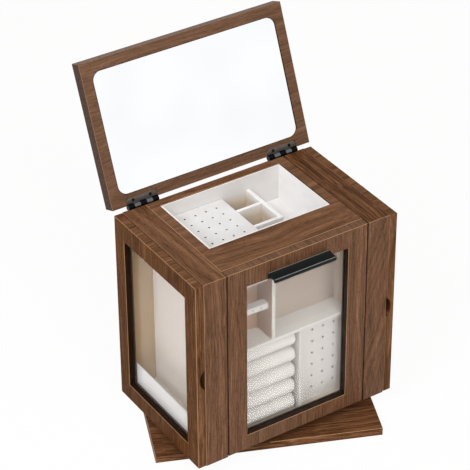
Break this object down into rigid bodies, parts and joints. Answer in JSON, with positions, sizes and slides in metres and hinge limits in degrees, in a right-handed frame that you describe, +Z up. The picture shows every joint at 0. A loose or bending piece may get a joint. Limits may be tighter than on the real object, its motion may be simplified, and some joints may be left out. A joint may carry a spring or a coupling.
{
  "type": "rotating jewellery box",
  "caption": "Glazed walnut-look jewellery cabinet with a mirror lid, drop-front door, side doors and lined tray, turning on a flat base plate.",
  "frame": {"origin": "on the surface that the box stands on, on the turntable's axis", "axes": "+Z up, +X to the right along the cabinet's front, +Y to its back; lid open on its stop, doors shut, base plate turned 22.4 degrees clockwise under the cabinet"},
  "size_m": [0.3206, 0.3041, 0.4454],
  "materials": {
    "walnut_upright": "walnut-look foil on board, grain upright, satin",
    "walnut_across": "walnut-look foil on board, grain left to right, satin",
    "walnut_front_to_back": "walnut-look foil on board, grain front to back, satin",
    "walnut_base": "walnut-look foil on board, grain along the plate, satin",
    "plain_board": "bare board inside the cabinet",
    "cream_velvet": "short-pile velvet lining",
    "cream_velvet_roll": "velvet over foam",
    "clear_glass": "clear float glass",
    "silvered_mirror": "silvered glass",
    "black_hinge_metal": "black plated steel, semi-gloss",
    "black_handle_metal": "black powder coat, satin",
    "bearing_steel": "zinc-plated steel",
    "black_screw": "blackened steel",
    "magnet_nickel": "nickel-plated magnet",
    "hook_gilt": "gilt wire",
    "bead_black": "black moulded strip",
    "bush_plastic": "acetal bush",
    "base_felt": "black felt"
  },
  "bodies": {
    "base": {"base_plate": "walnut_base", "base_felt": "base_felt", "bearing_inner_ring": "bearing_steel", "bearing_inner_screws": "bearing_steel", "bearing_balls": "bearing_steel"},
    "cabinet": {"bearing_outer_ring": "bearing_steel", "bearing_outer_screws": "bearing_steel", "cabinet_floor": "walnut_across", "back_panel": "walnut_upright", "inner_walls": "walnut_upright", "left_front_stile": "walnut_upright", "right_front_stile": "walnut_upright", "left_top_board": "walnut_front_to_back", "right_top_board": "walnut_front_to_back", "centre_top_frame": "walnut_across", "front_partition": "plain_board", "tray_shelf": "plain_board", "left_bay_liner": "cream_velvet", "right_bay_liner": "cream_velvet", "side_pockets": "cream_velvet", "chain_hooks": "hook_gilt", "front_bay_liner": "cream_velvet", "front_bay_shelf": "cream_velvet", "front_bay_uprights": "cream_velvet", "earring_hanger_bars": "cream_velvet", "ring_rolls": "cream_velvet_roll", "stud_panel": "cream_velvet", "tray_box": "cream_velvet", "tray_earring_board": "cream_velvet", "tray_dividers": "cream_velvet", "top_hinge_leaves": "black_hinge_metal", "frame_hinge_leaves": "black_hinge_metal", "hinge_pins": "black_screw", "cabinet_hinge_screws": "black_screw", "pivot_bushes": "bush_plastic", "cabinet_magnets": "magnet_nickel"},
    "lid": {"lid_panel": "walnut_across", "lid_mirror": "silvered_mirror", "lid_hinge_leaves": "black_hinge_metal", "lid_hinge_screws": "black_screw"},
    "front_door": {"front_door_frame": "walnut_upright", "front_door_glass": "clear_glass", "front_door_bead": "bead_black", "handle": "black_handle_metal", "handle_screws": "black_screw", "front_door_pins": "bearing_steel", "front_door_magnets": "magnet_nickel"},
    "left_door": {"left_door_frame": "walnut_upright", "left_door_glass": "clear_glass", "left_door_bead": "bead_black", "left_door_leaves": "black_hinge_metal", "left_door_screws": "black_screw", "left_door_magnets": "magnet_nickel"},
    "right_door": {"right_door_frame": "walnut_upright", "right_door_glass": "clear_glass", "right_door_bead": "bead_black", "right_door_leaves": "black_hinge_metal", "right_door_screws": "black_screw", "right_door_magnets": "magnet_nickel"}
  },
  "joints": [
    {"name": "turntable", "type": "hinge", "parent": "base", "child": "cabinet", "pos_m": [0, 0, 0.017], "axis": [0, 0, 1], "continuous": true},
    {"name": "lid_hinge", "type": "hinge", "parent": "cabinet", "child": "lid", "pos_m": [0, 0.0899, 0.2806], "axis": [1, 0, 0], "range_deg": [0, 111.8]},
    {"name": "front_door_drop", "type": "hinge", "parent": "cabinet", "child": "front_door", "pos_m": [0, -0.0819, 0.0291], "axis": [1, 0, 0], "range_deg": [0, 90]},
    {"name": "left_door_hinge", "type": "hinge", "parent": "cabinet", "child": "left_door", "pos_m": [-0.12675, 0.0897, 0.151], "axis": [0, 0, -1], "range_deg": [0, 95]},
    {"name": "right_door_hinge", "type": "hinge", "parent": "cabinet", "child": "right_door", "pos_m": [0.12675, 0.0897, 0.151], "axis": [0, 0, 1], "range_deg": [0, 95]}
  ]
}
